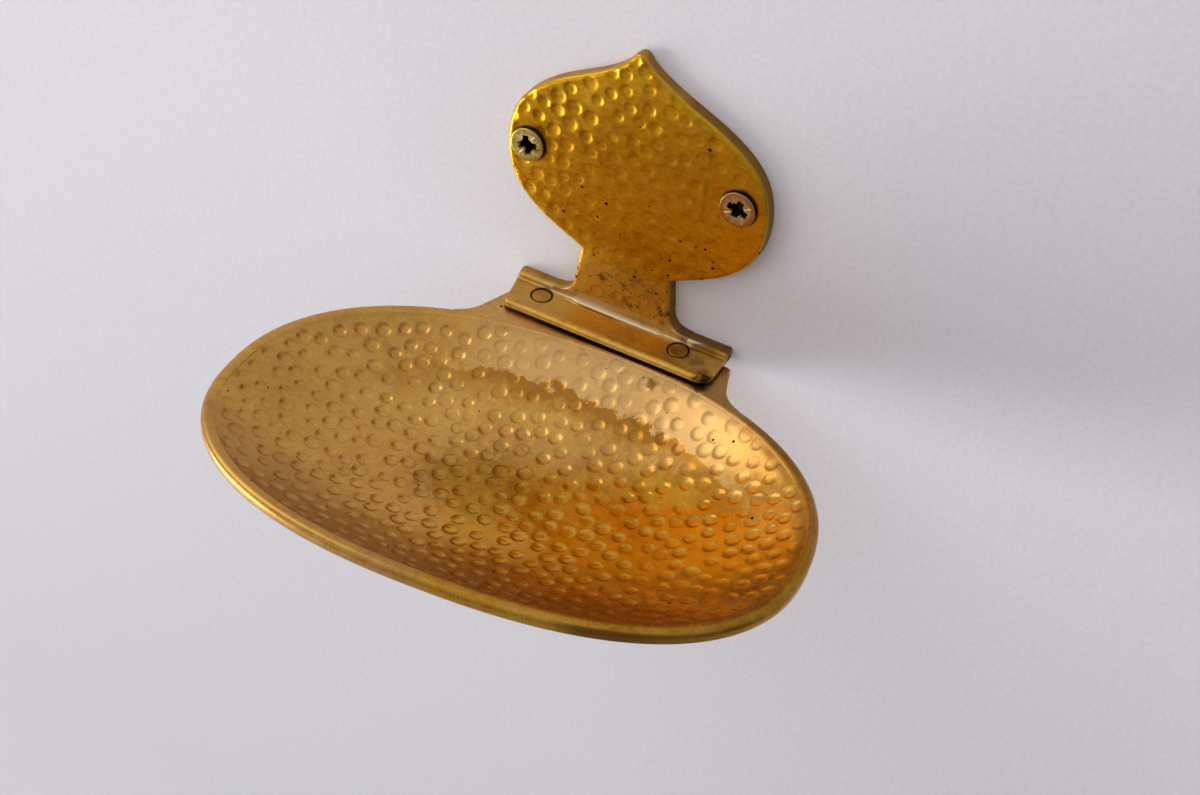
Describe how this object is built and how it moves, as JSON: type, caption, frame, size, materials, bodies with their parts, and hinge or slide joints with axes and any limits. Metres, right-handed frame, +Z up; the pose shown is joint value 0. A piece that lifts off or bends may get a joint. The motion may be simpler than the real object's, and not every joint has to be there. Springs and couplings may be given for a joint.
{
  "type": "soap dish",
  "caption": "Wall-mounted hammered brass soap dish: oval bowl with a rounded rim, riveted under the foot of a spade-shaped wall plate held by countersunk screws.",
  "frame": {"origin": "on the flat back of the wall plate, on the plate's centre line, level with the widest part of the leaf", "axes": "+Z up, +Y into the wall, +X to the right as seen from in front; the dish stands out along -Y"},
  "size_m": [0.1311, 0.1202, 0.0851],
  "materials": {
    "hammered_brass": "hammered, polished and lightly aged",
    "aged_brass": "filed flush, aged",
    "yellow_zinc": "yellow passivated zinc",
    "coppery_zinc": "yellow passivated zinc with a coppery tint"
  },
  "bodies": {
    "root": {"dish": "hammered_brass", "wall_plate": "hammered_brass", "rivet_left": "aged_brass", "rivet_right": "aged_brass", "screw_left": "yellow_zinc", "screw_right": "coppery_zinc"}
  },
  "joints": []
}
